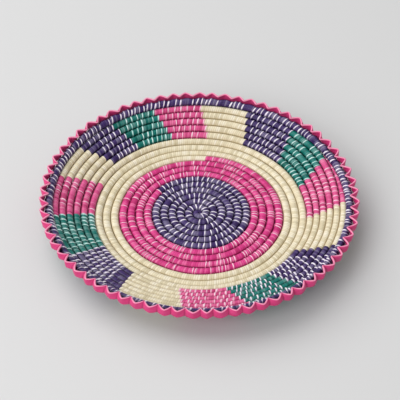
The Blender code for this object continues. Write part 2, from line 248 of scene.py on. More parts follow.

# Where the three shades of a leaf lie, how much more vivid thicker dye is, which the painted shade in the
# grooves and creases also uses, how far the roughness differs from fibre to fibre, and how strongly leaf
# reflects
SHADE_PLACES = (0.2, 0.5, 0.85)
DYE_DEPTH = 1.25
POLISH_SPREAD = 0.1
LEAF_IOR = 1.33
WHITE = (1.0, 1.0, 1.0)

# The dark line between two strips starts at this nearness to their edge, and breaks up between these
# values of the fibres
SEAM_START = 0.35
SEAM_BREAKS = (0.35, 0.6)

# How each kind of leaf spreads round its colour: brightness of its darkest shade, the palest one's way to
# white, the shares of the way to the edge of the row between which the painted light of the edge takes over
# (painted shade in the groove, and on the edging a paler top that is partly a painted highlight), and the
# roughness. In front, the painted groove shade covers less of a stitch.
Finish = namedtuple("Finish", "darkest palest edge_start edge_end roughness")
DYED_LEAF = Finish(0.6, 0.2, 0.62, 1.0, 0.32)
NATURAL_LEAF = Finish(0.76, 0.35, 0.74, 1.0, 0.5)
EDGING_LEAF = Finish(0.8, 0.15, 0.9, 1.0, 0.42)
STITCH_LEAF = Finish(0.85, 0.6, 0.4, 0.9, 0.5)
NEAR_STITCH_LEAF = Finish(0.85, 0.6, 0.6, 1.0, 0.5)

# Brightness of the painted shade in the grooves between the rows, of the darker line between two strips,
# and of the painted shade in the edging's creases, each a darker and more vivid colour of the dye
GROOVE_SHADES = {"pink": 0.34, "green": 0.26, "purple": 0.26, "ring": 0.4, "centre": 0.35, "rim": 0.35}
DYED_SEAM = 0.65
EDGING_CREASE_SHADE = 0.3

# The same for undyed leaf, as shares of its red, green and blue: the painted shade in the grooves and the
# line between two strips. Then the way to white of the edging's upper edge, which is partly the paler cut
# edge and partly a painted highlight, and the share of the wrap's dye in the painted shade where a stitch
# dips into the groove.
NATURAL_GROOVE_SHADE = (0.65, 0.57, 0.45)
NATURAL_SEAM = (0.58, 0.5, 0.36)
EDGING_TOP_TINT_AND_HIGHLIGHT = 0.22
STITCH_SHADE_DYE = 0.8

# The straw inside the coil: its size as a share of the wrap's, the length of coil after which new stems
# are laid in, and how far its two ends stay inside the wrap, in degrees and in teeth
STRAW_SHARE = 0.76
STEM_LENGTH = 0.02
STRAW_START = 40.0
STRAW_END = 8.0
RIM_STRAW_END = 0.1

# Look of the straw: spacing of the stems, colour of a stem and of the gap beside it, and roughness
STEM_SPACING = 0.0012
STRAW_COLOURS = ("#D9C68E", "#8E7744")
STRAW_ROUGHNESS = 0.75

# The camera, fitted to the outline of the rim: distance, elevation, roll, lens and shift
VIEW_DISTANCE = 1.1
VIEW_ELEVATION = math.radians(43.893)
VIEW_ROLL = math.radians(1.2157)
VIEW_LENS = 105.28
VIEW_SHIFT = (0.00099, -0.01699)
VIEW_TARGET_HEIGHT = 0.032

# Floor, light all round, and lamps: name, place, size and power of each
FLOOR_SIZE = 8.0
FLOOR_GAP = 0.0002
FLOOR_COLOUR = "#D2D2D2"
FLOOR_ROUGHNESS = 0.95
WORLD_STRENGTH = 0.44
LAMPS = (
    ("key", (-1.5, 0.9, 2.45), 3.2, 70.0),
    ("fill", (-1.3, -1.7, 1.3), 1.4, 27.0),
)

# The direction upwards, and the kinds of node that the trees use most
UP = Vector((0.0, 0.0, 1.0))
MATH = "ShaderNodeMath"
VECTOR_MATH = "ShaderNodeVectorMath"


def linear(hex_colour):
    """Linear red, green and blue of an sRGB hex colour."""
    levels = [int(hex_colour[place:place + 2], 16) / 255 for place in (1, 3, 5)]
    return tuple(level / 12.92 if level <= 0.04045 else ((level + 0.055) / 1.055) ** 2.4 for level in levels)


def add_node(tree, kind, inputs=(), operation=None, captured=(), **settings):
    """A new node in a tree, with values, nodes or sockets put into its inputs, by name or in their order.

    Where a node captures values, each is given by its data type and its name, and its input has that name.
    """
    node = tree.nodes.new(kind)
    if operation:
        settings["operation"] = operation
    for name, value in settings.items():
        setattr(node, name, value)
    for held, name in captured:
        node.capture_items.new(held, name)
    for name, value in inputs.items() if isinstance(inputs, dict) else enumerate(inputs):
        socket = node.inputs[name]
        if isinstance(value, bpy.types.Node):
            value = value.outputs[0]
        if isinstance(value, bpy.types.NodeSocket):
            tree.links.new(value, socket)
        else:
            socket.default_value = value
    return node


def new_geometry_tree(name, inputs):
    """A Geometry Nodes tree with a geometry input, the named inputs given and one geometry output."""
    tree = bpy.data.node_groups.new(name, "GeometryNodeTree")
    for label, kind in {"Geometry": "Geometry", **inputs}.items():
        tree.interface.new_socket(label, in_out="INPUT", socket_type=f"NodeSocket{kind}")
    tree.interface.new_socket("Geometry", in_out="OUTPUT", socket_type="NodeSocketGeometry")
    return tree


def data_type(key):
    """Data type of a named value."""
    return "FLOAT_VECTOR" if key in VECTOR_VALUES else "FLOAT"


def finish_tree(tree, geometry, marks, material):
    """End a tree: instances made real, the material set, and the result sent out.

    Before that, what the material reads is kept on the geometry, each value by its domain and its name.
    """
    for domain, key, value in marks:
        geometry = add_node(tree, "GeometryNodeStoreNamedAttribute", {
            "Geometry": geometry, "Name": key, "Value": value}, data_type=data_type(key), domain=domain)
    real = add_node(tree, "GeometryNodeRealizeInstances", {"Geometry": geometry})
    dressed = add_node(tree, "GeometryNodeSetMaterial", {"Geometry": real, "Material": material})
    add_node(tree, "NodeGroupOutput", {"Geometry": dressed})


def grow(name, source, tree_name, values):
    """Run a tree over a mesh with values for its named inputs, and keep the result as a plain mesh."""
    tree = bpy.data.node_groups[tree_name]
    carrier = bpy.data.objects.new(name, source)
    bpy.context.scene.collection.objects.link(carrier)
    modifier = carrier.modifiers.new(tree_name, "NODES")
    modifier.node_group = tree
    for socket in tree.interface.items_tree:
        if socket.in_out == "INPUT" and socket.name in values:
            modifier[socket.identifier] = values[socket.name]
    graph = bpy.context.evaluated_depsgraph_get()
    mesh = bpy.data.meshes.new_from_object(carrier.evaluated_get(graph), depsgraph=graph)
    bpy.data.objects.remove(carrier, do_unlink=True)
    bpy.data.meshes.remove(source)
    mesh.name = name
    for key in PATH_VALUES:
        if key in mesh.attributes:
            mesh.attributes.remove(mesh.attributes[key])
    mesh.set_sharp_from_angle(angle=SHARP_ANGLE)
    piece = bpy.data.objects.new(name, mesh)
    bpy.context.scene.collection.objects.link(piece)
    return piece


def keep(piece, slot, *nodes):
    """Fix a finished piece to the basket, and hide the solids of the model that it stands for. The slot is
    not used.
    """
    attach(piece, "root")
    if nodes:
        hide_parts(*nodes)


def middle_line(distance):
    """Radius, height and slope of the coil's middle at a distance from the centre, along the surface."""
    middle = COIL_HEIGHT / 2
    if distance <= FLAT_RADIUS:
        return distance, middle, 0.0
    turned = min((distance - FLAT_RADIUS) / BEND_RADIUS, WALL_SLOPE)
    radius = FLAT_RADIUS + BEND_RADIUS * math.sin(turned)
    height = middle + BEND_RADIUS * (1 - math.cos(turned))
    straight = max(distance - FLAT_RADIUS - BEND_LENGTH, 0.0)
    return radius + straight * math.cos(turned), height + straight * math.sin(turned), turned


def row_inner_edge(winding):
    """Distance of the inner edge of the coil at a winding angle."""
    row, turned = divmod(winding - WALL_START, 360)
    if row < 0:
        return WALL_FOOT + (winding - WALL_START) / 360 * COIL_PITCH
    foot = WALL_FOOT + turned / 360 * ROW_WIDTH
    last = np.interp(WALL_START + turned, TAPER_ANGLES, TAPER_SHARES)
    width = (WALL_TOP - foot) / (WALL_ROWS - 1 + last)
    return foot + width * min(row, WALL_ROWS - 1) + width * last * max(row - WALL_ROWS + 1, 0)


def row_edges(winding):
    """Distances of the coil's inner and outer edge at a winding angle, from the tip in the middle on."""
    return max(row_inner_edge(winding), 0.0), row_inner_edge(winding + 360)


def change_angle(change, row):
    """Winding angle of a colour change in a row of the wall, counted from its foot."""
    turns, change = divmod(change, len(COLOUR_CHANGES))
    top, foot = COLOUR_CHANGES[change]
    return foot + (top - foot) * (row + turns + 0.5) / WALL_ROWS + 360 * (row + turns)


def wander(turn, distance):
    """How far the coil lies out of its even place, at an angle and a distance from the centre."""
    waves, sway = DRIFT_WAVES
    reach = DRIFT * min(distance / FLAT_RADIUS, (WALL_TOP - distance) / ROW_WIDTH, 1.0)
    shift = distance / DRIFT_LENGTH
    return reach * (math.sin(waves * turn + shift) + math.sin(sway * turn - shift))


def directions(turn, slope):
    """Directions at an angle round the basket: level outwards, and outwards and upwards on a slope."""
    level = Vector((math.cos(turn), math.sin(turn), 0.0))
    out = level * math.cos(slope) + UP * math.sin(slope)
    return level, out, UP * math.cos(slope) - level * math.sin(slope)


def coil_place(winding):
    """Middle, outward direction, upward direction, width and height of the coil at a winding angle."""
    inner, outer = row_edges(winding)
    distance = (inner + outer) / 2
    turn = math.radians(winding)
    distance += wander(turn, distance)
    radius, height, slope = middle_line(distance)
    level, out, up = directions(turn, slope)
    middle = level * radius + UP * height
    fullness = min(1.0, math.sqrt((outer - inner) / (FULL_HEIGHT_SHARE * ROW_WIDTH)))
    return middle, out, up, outer - inner, COIL_HEIGHT * fullness


def rim_place(tooth):
    """The same for the coil on the rim, at a tooth's tip or a place between two tips, counted in teeth."""
    level, out, up = directions(math.radians(tooth_angle(tooth)), RIM_TILT)
    pinch = RIM_PINCH * (1 - abs(math.cos(math.pi * tooth)))
    middle = level * RIM_RADIUS + UP * (EDGING_HEIGHT - RIM_DROP) - out * pinch / 2
    return middle, out, up, RIM_WIDTH - pinch, RIM_THICKNESS - pinch * RIM_PINCH_SHARE


def straw_in(place):
    """Function that gives the same places for the straw inside the coil."""
    def straw_place(at):
        middle, out, up, width, height = place(at)
        return middle, out, up, width * STRAW_SHARE, height * STRAW_SHARE
    return straw_place


def tooth_angle(tooth):
    """Angle in degrees of a tooth's tip, or of a place between two tips, counted in teeth."""
    degrees = FIRST_TOOTH + 360 / TEETH * tooth
    even = math.radians(degrees)
    drift = DRIFT_TWICE * math.sin(2 * even) - DRIFT_ONCE * math.cos(even)
    return degrees + drift + sum(reach * math.sin(waves * even) for waves, reach in FOLD_WAVES)


def line_mesh(name, points, edges, values):
    """Mesh of points and edges, with the values that the trees read at each point."""
    mesh = bpy.data.meshes.new(name)
    mesh.from_pydata(points, edges, [])
    for key, column in values.items():
        layer = mesh.attributes.new(key, data_type(key), "POINT")
        part = "vector" if key in VECTOR_VALUES else "value"
        layer.data.foreach_set(part, np.array(column, np.float32).ravel())
    return mesh


def in_steps(runs, step):
    """Runs of winding angles, each with its number of steps of about the size given."""
    return [(start, end, max(1, round((end - start) / step))) for start, end in runs]


def turns_in_steps(start, end, spacing):
    """The same for the turns of the base between two winding angles, in steps of about a length."""
    runs = []
    while start < end:
        stop = min(start + 360, end)
        length = math.radians(stop - start) * sum(row_edges((start + stop) / 2)) / 2
        pieces = max(2, round(length / spacing))
        runs.append((start, stop - (stop - start) / pieces, pieces - 1))
        start = stop
    return runs


def path_mesh(name, runs, place):
    """Mesh of one chain of edges for each run of winding angles, with a point at the end of each step."""
    points = []
    edges = []
    values = {key: [] for key in ("out", "up", "width", "height", "run")}
    for number, (start, end, pieces) in enumerate(runs):
        for index in range(pieces + 1):
            middle, *rest = place(start + (end - start) * index / pieces)
            if index:
                edges.append((len(points) - 1, len(points)))
            points.append(middle)
            for column, value in zip(values.values(), (*rest, number)):
                column.append(value)
    return line_mesh(name + "_path", points, edges, values)


def fold_mesh():
    """Closed chain of edges round the rim, with the share of the way to a tip at each point."""
    points = []
    values = {"out": [], "fold": [], "crease": []}
    for station in range(TEETH * FOLD_STATIONS):
        tooth = station / FOLD_STATIONS
        turn = math.radians(tooth_angle(tooth))
        level = directions(turn, 0.0)[0]
        points.append(level * EDGING_RADIUS + UP * EDGING_HEIGHT)
        bulge = abs(math.cos(math.pi * tooth))
        straight = abs(1 - 2 * (tooth % 1))
        values["out"].append(level)
        fold = straight + (bulge - straight) * FOLD_ROUNDNESS
        values["fold"].append(fold + FOLD_SPREAD * math.cos(2 * turn) * (2 * fold - 1))
        # How strongly painted shade is laid in the crease at a valley
        values["crease"].append(max(1 - fold / CREASE_SHADE_WIDTH, 0.0))
    edges = [(index, (index + 1) % len(points)) for index in range(len(points))]
    return line_mesh("edging_path", points, edges, values)


def rounded_section(tree, squareness):
    """Curve of a coil's section, one unit from its middle, between a circle and a square."""
    add = partial(add_node, tree)
    circle = add("GeometryNodeCurvePrimitiveCircle", {"Resolution": SECTION_SIDES, "Radius": 1.0})
    position = add("GeometryNodeInputPosition")
    corner = add("ShaderNodeSeparateXYZ", (position,))
    powers = []
    for axis in ("X", "Y"):
        size = add(MATH, (corner.outputs[axis],), "ABSOLUTE")
        powers.append(add(MATH, (size, squareness), "POWER"))
    total = add(MATH, (powers[0], powers[1]), "ADD")
    root = add(MATH, (-1.0, squareness), "DIVIDE")
    factor = add(MATH, (total, root), "POWER")
    stretched = add(VECTOR_MATH, {0: position, "Scale": factor}, "SCALE")
    squared = add("GeometryNodeSetPosition", {"Geometry": circle, "Position": stretched})
    return add("GeometryNodeCaptureAttribute", {"Geometry": squared, "Section": position},
               captured=[("VECTOR", "Section")])


def wrapped_coil_tree():
    """Tree that wraps strips of leaf round the coil along each chain of a path mesh."""
    tree = new_geometry_tree("Wrapped coil", {
        "Leaf width": "Float", "Lean": "Float", "Dip": "Float", "Unevenness": "Float", "Squareness": "Float",
        "Seed": "Int", "Material": "Material"})
    add = partial(add_node, tree)
    given = add("NodeGroupInput").outputs
    curve = add("GeometryNodeMeshToCurve", {"Mesh": given["Geometry"]})

    # A whole number of strips in each run, with a ring at each edge between two strips
    length = add("GeometryNodeSplineLength")
    strips = add(MATH, (length, given["Leaf width"]), "DIVIDE")
    whole = add(MATH, (strips,), "ROUND")
    rings = add(MATH, (whole, RINGS_PER_STRIP, 1.0), "MULTIPLY_ADD")
    fine = add("GeometryNodeResampleCurve", {"Curve": curve, "Count": rings})
    middle = add("GeometryNodeInputPosition")
    ring = add("GeometryNodeSplineParameter").outputs["Index"]
    path = add("GeometryNodeCaptureAttribute", {"Geometry": fine, "Middle": middle, "Ring": ring},
               captured=[("VECTOR", "Middle"), ("FLOAT", "Ring")])
    section = rounded_section(tree, given["Squareness"])
    tube = add("GeometryNodeCurveToMesh", {"Curve": path, "Profile Curve": section, "Fill Caps": True})

    # Half sizes of the section, less the dip between strips, and a little uneven from strip to strip
    run, width, height, out, up = (
        add("GeometryNodeInputNamedAttribute", {"Name": key}, data_type=data_type(key))
        for key in ("run", "width", "height", "out", "up"))
    position = add(MATH, (path.outputs["Ring"], RINGS_PER_STRIP), "DIVIDE")
    phase = add(MATH, (position,), "FRACT")
    at_edge = add(MATH, (phase, 0.5 / RINGS_PER_STRIP), "LESS_THAN")
    strip = add(MATH, (position,), "FLOOR")
    number = add(MATH, (run, STRIPS_PER_RUN, strip), "MULTIPLY_ADD")
    chance = add("FunctionNodeRandomValue", {"ID": number, "Seed": given["Seed"]}).outputs["Value"]
    uneven = add(MATH, (chance, given["Unevenness"]), "MULTIPLY")
    loss = add(MATH, (at_edge, given["Dip"], uneven), "MULTIPLY_ADD")
    halves = []
    for size in (width, height):
        half = add(MATH, (size, 0.5), "MULTIPLY")
        halves.append(add(MATH, (half, loss), "SUBTRACT"))

    # Place of each point: across and up from the middle, and leaned along the coil
    corner = add("ShaderNodeSeparateXYZ", (section.outputs["Section"],))
    across = add(MATH, (corner.outputs["X"], halves[0]), "MULTIPLY")
    lift = add(MATH, (corner.outputs["Y"], halves[1]), "MULTIPLY")
    lean = add(MATH, (across, given["Lean"]), "MULTIPLY")
    along = add(VECTOR_MATH, (up, out), "CROSS_PRODUCT")
    place = path.outputs["Middle"]
    for direction, reach in ((out, across), (up, lift), (along, lean)):
        part = add(VECTOR_MATH, {0: direction, "Scale": reach}, "SCALE")
        place = add(VECTOR_MATH, (place, part), "ADD")
    formed = add("GeometryNodeSetPosition", {"Geometry": tube, "Position": place})
    outward = add("GeometryNodeFlipFaces", {"Mesh": formed})

    # For the material: a tone for each strip, the place on the leaf, and how near the edges of the row and
    # of the strip it is. Near the edge of the row the material paints shade into the groove.
    step = add(MATH, (given["Leaf width"], RINGS_PER_STRIP), "DIVIDE")
    forward = add(MATH, (path.outputs["Ring"], step, run), "MULTIPLY_ADD")
    leaf = add("ShaderNodeCombineXYZ", {"X": forward, "Y": across, "Z": lift})
    edge = add(MATH, (corner.outputs["X"],), "ABSOLUTE")
    marks = [("FACE", "tone", chance), ("POINT", "leaf_place", leaf), ("POINT", "row_edge", edge),
             ("POINT", "seam_and_crease_mask", at_edge)]
    finish_tree(tree, outward, marks, given["Material"])


def stitches_tree():
    """Tree that sets a narrow strip of leaf round the coil at each point of a path mesh."""
    tree = new_geometry_tree("Stitches", {
        "Stitch width": "Float", "Thickness": "Float", "Lean": "Float", "Squareness": "Float",
        "Wander": "Float", "Twist": "Float", "Missing": "Float", "Seed": "Int", "Material": "Material"})
    add = partial(add_node, tree)
    given = add("NodeGroupInput").outputs

    # One stitch: a ring of leaf in the X and Z plane round a coil of the usual size, ridged in the middle
    # and pressed flush underneath
    section = rounded_section(tree, given["Squareness"])
    profile = add("GeometryNodeCurvePrimitiveCircle", {"Resolution": STITCH_SIDES, "Radius": 1.0})
    corners = add("GeometryNodeInputPosition")
    ridge = add("GeometryNodeCaptureAttribute", {"Geometry": profile, "Ridge": corners},
                captured=[("VECTOR", "Ridge")])
    band = add("GeometryNodeCurveToMesh", {"Curve": section, "Profile Curve": ridge})
    corner = add("ShaderNodeSeparateXYZ", (section.outputs["Section"],))
    side = add("ShaderNodeSeparateXYZ", (ridge.outputs["Ridge"],))
    under = add(MATH, (corner.outputs["Y"], 0.0), "MINIMUM")
    pressed = add(MATH, (side.outputs["X"], under), "ADD")
    reach = add(MATH, (pressed, given["Thickness"], COIL_HEIGHT / 2), "MULTIPLY_ADD")
    across = add(MATH, (corner.outputs["X"], reach), "MULTIPLY")
    lift = add(MATH, (corner.outputs["Y"], reach), "MULTIPLY")
    half_width = add(MATH, (given["Stitch width"], 0.5), "MULTIPLY")
    spread = add(MATH, (side.outputs["Y"], half_width), "MULTIPLY")
    leaned = add(MATH, (across, given["Lean"], spread), "MULTIPLY_ADD")
    place = add("ShaderNodeCombineXYZ", {"X": across, "Y": leaned, "Z": lift})
    stitch = add("GeometryNodeSetPosition", {"Geometry": band, "Position": place})
    leaf = add("ShaderNodeCombineXYZ", {"X": spread, "Y": across, "Z": lift})
    edge = add(MATH, (corner.outputs["X"],), "ABSOLUTE")
    # How near the edge of the row each point is, for painted shade where the stitch dips into the groove
    for key, value in (("leaf_place", leaf), ("row_edge", edge)):
        stitch = add("GeometryNodeStoreNamedAttribute", {
            "Geometry": stitch, "Name": key, "Value": value}, data_type=data_type(key), domain="POINT")

    # Where the stitches go, each a little off its even place
    width, height, out, up = (
        add("GeometryNodeInputNamedAttribute", {"Name": key}, data_type=data_type(key))
        for key in ("width", "height", "out", "up"))
    off = add("FunctionNodeRandomValue", {"Seed": given["Seed"], "Min": (-1.0, -1.0, -1.0)},
              data_type="FLOAT_VECTOR")
    chance = add("ShaderNodeSeparateXYZ", (off.outputs[0],)).outputs
    along = add(VECTOR_MATH, (up, out), "CROSS_PRODUCT")
    shift = add(MATH, (chance["X"], given["Wander"]), "MULTIPLY")
    moved = add(VECTOR_MATH, {0: along, "Scale": shift}, "SCALE")
    placed = add("GeometryNodeSetPosition", {"Geometry": given["Geometry"], "Offset": moved})

    # How each is turned, and fitted to the size of the coil there
    straight = add("FunctionNodeAxesToRotation", (up, out), primary_axis="Z", secondary_axis="X")
    twist = add(MATH, (chance["Y"], given["Twist"]), "MULTIPLY")
    turn = add("FunctionNodeEulerToRotation", (add("ShaderNodeCombineXYZ", {"Z": twist}),))
    twisted = add("FunctionNodeRotateRotation", {"Rotation": straight, "Rotate By": turn},
                  rotation_space="LOCAL")
    wide, high = (add(MATH, (size, COIL_HEIGHT), "DIVIDE") for size in (width, height))
    breadth = add(MATH, (chance["Z"], STITCH_WIDTH_SPREAD, 1.0), "MULTIPLY_ADD")
    size = add("ShaderNodeCombineXYZ", {"X": wide, "Y": breadth, "Z": high})

    # Some are left out, because they don't show on the real rows
    second = add(MATH, (given["Seed"], 1.0), "ADD")
    drawn = add("FunctionNodeRandomValue", {"Seed": second}).outputs["Value"]
    present = add("FunctionNodeCompare", {"A": drawn, "B": given["Missing"]}, "GREATER_THAN")
    stitches = add("GeometryNodeInstanceOnPoints", {
        "Points": placed, "Selection": present, "Instance": stitch, "Rotation": twisted, "Scale": size})
    finish_tree(tree, stitches, [("INSTANCE", "tone", drawn)], given["Material"])


def pleated_strip_tree():
    """Tree that stands a strip of leaf round the coil on the rim, folded in and out along a path mesh."""
    tree = new_geometry_tree("Pleated strip", {
        "Thickness": "Float", "Tip reach": "Float", "Unevenness": "Float", "Seed": "Int",
        "Material": "Material"})
    add = partial(add_node, tree)
    given = add("NodeGroupInput").outputs
    out, fold, crease, uncreased = (
        add("GeometryNodeInputNamedAttribute", {"Name": key}, data_type=data_type(key))
        for key in ("out", "fold", "crease", "uncreased"))
    position = add("GeometryNodeInputPosition")
    parameter = add("GeometryNodeSplineParameter").outputs
    curve = add("GeometryNodeMeshToCurve", {"Mesh": given["Geometry"]})
    least = add(MATH, (given["Unevenness"], -1.0), "MULTIPLY")
    index = add("GeometryNodeInputIndex")
    tooth = add(MATH, (index, FOLD_STATIONS), "DIVIDE")
    number = add(MATH, (tooth,), "ROUND")
    chance = add("FunctionNodeRandomValue", {
        "Min": least, "Max": given["Unevenness"], "ID": number, "Seed": given["Seed"]}).outputs["Value"]
    path = add("GeometryNodeCaptureAttribute", {
        "Geometry": curve, "Middle": position, "Length": parameter["Length"], "Chance": chance},
        captured=[("VECTOR", "Middle"), ("FLOAT", "Length"), ("FLOAT", "Chance")])
    section = add("GeometryNodeCurveQuadraticBezier", {
        "Resolution": EDGING_LEVELS, "Start": (*VALLEY_HEM, 0.0), "Middle": (*VALLEY_SHOULDER, 0.0),
        "End": (*VALLEY_TOP, 0.0)})
    section = add("GeometryNodeCaptureAttribute", {
        "Geometry": section, "Valley": position, "Level": parameter["Factor"]},
        captured=[("VECTOR", "Valley"), ("FLOAT", "Level")])
    level = section.outputs["Level"]
    band = add("GeometryNodeCurveToMesh", {"Curve": path, "Profile Curve": section})

    # Out and up from the middle line: between the section at a valley and the one at a tip
    reach = add(MATH, (given["Tip reach"], path.outputs["Chance"]), "ADD")
    draw = add("ShaderNodeMapRange", {"Value": level, "To Min": -TIP_HEM_DRAW, "To Max": 0.0})
    drawn = add(MATH, (reach, draw), "ADD")
    height = add("ShaderNodeMapRange", {"Value": level, "To Min": TIP_HEM_HEIGHT, "To Max": TIP_TOP_HEIGHT})
    tip = add("ShaderNodeCombineXYZ", {"X": drawn, "Y": height})
    folded = add("ShaderNodeMix", {0: fold, 4: section.outputs["Valley"], 5: tip},
                 data_type="VECTOR", clamp_factor=False)
    places = add("ShaderNodeSeparateXYZ", (folded.outputs[1],)).outputs
    outwards = add(VECTOR_MATH, {0: out, "Scale": places["X"]}, "SCALE")
    upwards = add("ShaderNodeCombineXYZ", {"Z": places["Y"]})
    place = path.outputs["Middle"]
    for part in (outwards, upwards):
        place = add(VECTOR_MATH, (place, part), "ADD")
    formed = add("GeometryNodeSetPosition", {"Geometry": band, "Position": place})

    # Thickened to both sides, closed and rounded. All but the outer side is marked, to keep the painted
    # crease shade off it.
    half = add(MATH, (given["Thickness"], -0.5), "MULTIPLY")
    normal = add("GeometryNodeInputNormal")
    back = add(VECTOR_MATH, {0: normal, "Scale": half}, "SCALE")
    one_side = add("GeometryNodeSetPosition", {"Geometry": formed, "Offset": back})
    other_side = add("GeometryNodeExtrudeMesh", {
        "Mesh": one_side, "Offset Scale": given["Thickness"], "Individual": False})
    top, side = other_side.outputs["Top"], other_side.outputs["Side"]
    # The cut faces get the palest tone: partly the paler cut edge, partly a painted highlight
    for key, value in (("tone", side), ("uncreased", add(MATH, (top, side), "ADD"))):
        other_side = add("GeometryNodeStoreNamedAttribute", {
            "Geometry": other_side, "Name": key, "Value": value}, data_type=data_type(key), domain="FACE")
    both = add("GeometryNodeJoinGeometry", {"Geometry": other_side})
    tree.links.new(add("GeometryNodeFlipFaces", {"Mesh": one_side}).outputs[0], both.inputs[0])
    closed = add("GeometryNodeMergeByDistance", {"Geometry": both, "Distance": MERGE_DISTANCE})
    rounded = add("GeometryNodeSubdivisionSurface", {"Mesh": closed, "Level": 1})

    # For the material: the place on the leaf, the way up it, for a paler top that is partly a painted
    # highlight, and the painted shade in the creases of the valleys, kept off all but the outer side
    leaf = add("ShaderNodeCombineXYZ", {"X": height, "Y": path.outputs["Length"]})
    with_crease_shade = add(MATH, (1.0, uncreased), "SUBTRACT")
    painted_crease_shade = add(MATH, (crease, with_crease_shade), "MULTIPLY")
    marks = [("POINT", "leaf_place", leaf), ("POINT", "row_edge", level), ("POINT", "seam_and_crease_mask", painted_crease_shade)]
    finish_tree(tree, rounded, marks, given["Material"])


def new_material(name):
    """A material with an empty tree, and the function that adds nodes to it."""
    material = bpy.data.materials.new(name)
    material.use_nodes = True
    material.node_tree.nodes.clear()
    return material, partial(add_node, material.node_tree)


def mixed(colour, other, share):
    """A colour with a share of another one mixed in."""
    return tuple(level + (added - level) * share for level, added in zip(colour, other))


def deepened(colour, brightness):
    """A more vivid colour at the brightness given, for thicker dye and for painted shade."""
    return tuple(level ** DYE_DEPTH * brightness for level in colour)


def leaf_material(name, colour, finish, edge_tint_and_painted_light, seam_and_crease_shade=None):
    """Strip of palm leaf: fine fibres along it, and a tone of its own for each strip.

    The finish says how the shades spread round the colour. Near the edge of the row the edge tint and
    painted light takes over: painted shade in the groove, and on the edging a paler top that is partly a
    painted highlight. The seam and crease shade shows along the edges of the strips, and on the edging
    it is painted shade in the creases of the valleys.
    """
    material, add = new_material(name)
    on_leaf = add("ShaderNodeAttribute", attribute_name="leaf_place").outputs["Vector"]
    tone = add("ShaderNodeAttribute", attribute_name="tone").outputs["Fac"]
    edge = add("ShaderNodeAttribute", attribute_name="row_edge").outputs["Fac"]
    stretched = add("ShaderNodeMapping", {
        "Vector": on_leaf, "Scale": (1 / FIBRE_SPACING, 1 / FIBRE_LENGTH, 1 / FIBRE_LENGTH)})
    fibres = add("ShaderNodeTexNoise", {
        "Vector": stretched, "Scale": 1.0, "Detail": FIBRE_DETAIL, "Roughness": FIBRE_ROUGHNESS})
    spot = add("ShaderNodeTexCoord").outputs["Object"]
    patches = add("ShaderNodeTexNoise", {"Vector": spot, "Scale": 1 / PATCH_SIZE, "Detail": PATCH_DETAIL})
    shade = add(MATH, (tone, TONE_SHARES[0]), "MULTIPLY")
    for layer, share in zip((fibres, patches), TONE_SHARES[1:]):
        shade = add(MATH, (layer, share, shade), "MULTIPLY_ADD")
    dye = add("ShaderNodeValToRGB", {"Fac": shade})
    stops = dye.color_ramp.elements
    stops.new(SHADE_PLACES[1])
    shades = (deepened(colour, finish.darkest), colour, mixed(colour, WHITE, finish.palest))
    for stop, place, level in zip(stops, SHADE_PLACES, shades):
        stop.position = place
        stop.color = (*level, 1.0)
    if seam_and_crease_shade:
        # On the edging this line is painted shade in the creases of the valleys
        seam = add("ShaderNodeAttribute", attribute_name="seam_and_crease_mask").outputs["Fac"]
        thin, thick = SEAM_BREAKS
        broken = add("ShaderNodeMapRange", {"Value": fibres, "From Min": thin, "From Max": thick})
        line = add("ShaderNodeMapRange", {"Value": seam, "From Min": SEAM_START, "To Max": broken})
        dye = add("ShaderNodeMix", {0: line, 6: dye, 7: (*seam_and_crease_shade, 1.0)}, data_type="RGBA").outputs[2]
    # Towards the edge of the row the painted light takes over: shade in a groove; on the edging, a paler top
    # that is partly a painted highlight
    nearness = add("ShaderNodeMapRange", {
        "Value": edge, "From Min": finish.edge_start, "From Max": finish.edge_end},
        interpolation_type="SMOOTHSTEP")
    blend = add("ShaderNodeMix", {0: nearness, 6: dye, 7: (*edge_tint_and_painted_light, 1.0)}, data_type="RGBA")
    smooth, rough = finish.roughness - POLISH_SPREAD, finish.roughness + POLISH_SPREAD
    polish = add("ShaderNodeMapRange", {"Value": fibres, "To Min": smooth, "To Max": rough})
    bump = add("ShaderNodeBump", {"Height": fibres, "Distance": FIBRE_DEPTH, "Strength": 1.0})
    shader = add("ShaderNodeBsdfPrincipled", {
        "Base Color": blend.outputs[2], "Roughness": polish, "Normal": bump, "IOR": LEAF_IOR})
    add("ShaderNodeOutputMaterial", {"Surface": shader})
    return material


def natural_leaf(name, colour):
    """Undyed leaf, with greyer, browner painted shade in the grooves and a darker seam between strips."""
    groove_shade, seam = (tuple(level * share for level, share in zip(colour, shares))
                    for shares in (NATURAL_GROOVE_SHADE, NATURAL_SEAM))
    return leaf_material(name, colour, NATURAL_LEAF, groove_shade, seam)


def dyed_leaf(name, colour, groove_shade):
    """Dyed leaf, with painted shade of deeper dye in the grooves, and a darker seam between strips."""
    return leaf_material(name, colour, DYED_LEAF, deepened(colour, groove_shade), deepened(colour, DYED_SEAM))


def dry_straw():
    """Dry straw: thin pale stems lying side by side, with darker gaps between them."""
    material, add = new_material("dry_straw")
    spot = add("ShaderNodeTexCoord").outputs["Object"]
    stems = add("ShaderNodeTexVoronoi", {"Vector": spot, "Scale": 1 / STEM_SPACING}).outputs["Distance"]
    dye = add("ShaderNodeValToRGB", {"Fac": stems})
    for stop, shade in zip(dye.color_ramp.elements, STRAW_COLOURS):
        stop.color = (*linear(shade), 1.0)
    bump = add("ShaderNodeBump", {"Height": stems, "Distance": FIBRE_DEPTH}, invert=True)
    shader = add("ShaderNodeBsdfPrincipled", {
        "Base Color": dye, "Roughness": STRAW_ROUGHNESS, "Normal": bump})
    add("ShaderNodeOutputMaterial", {"Surface": shader})
    return material


def matt_paper():
    """Matt paper for the floor: one pale tone, with a grain too fine to see."""
    material = bpy.data.materials.new("matt_paper")
    material.use_nodes = True
    shader = material.node_tree.nodes["Principled BSDF"]
    shader.inputs["Base Color"].default_value = (*linear(FLOOR_COLOUR), 1.0)
    shader.inputs["Roughness"].default_value = FLOOR_ROUGHNESS
    return material


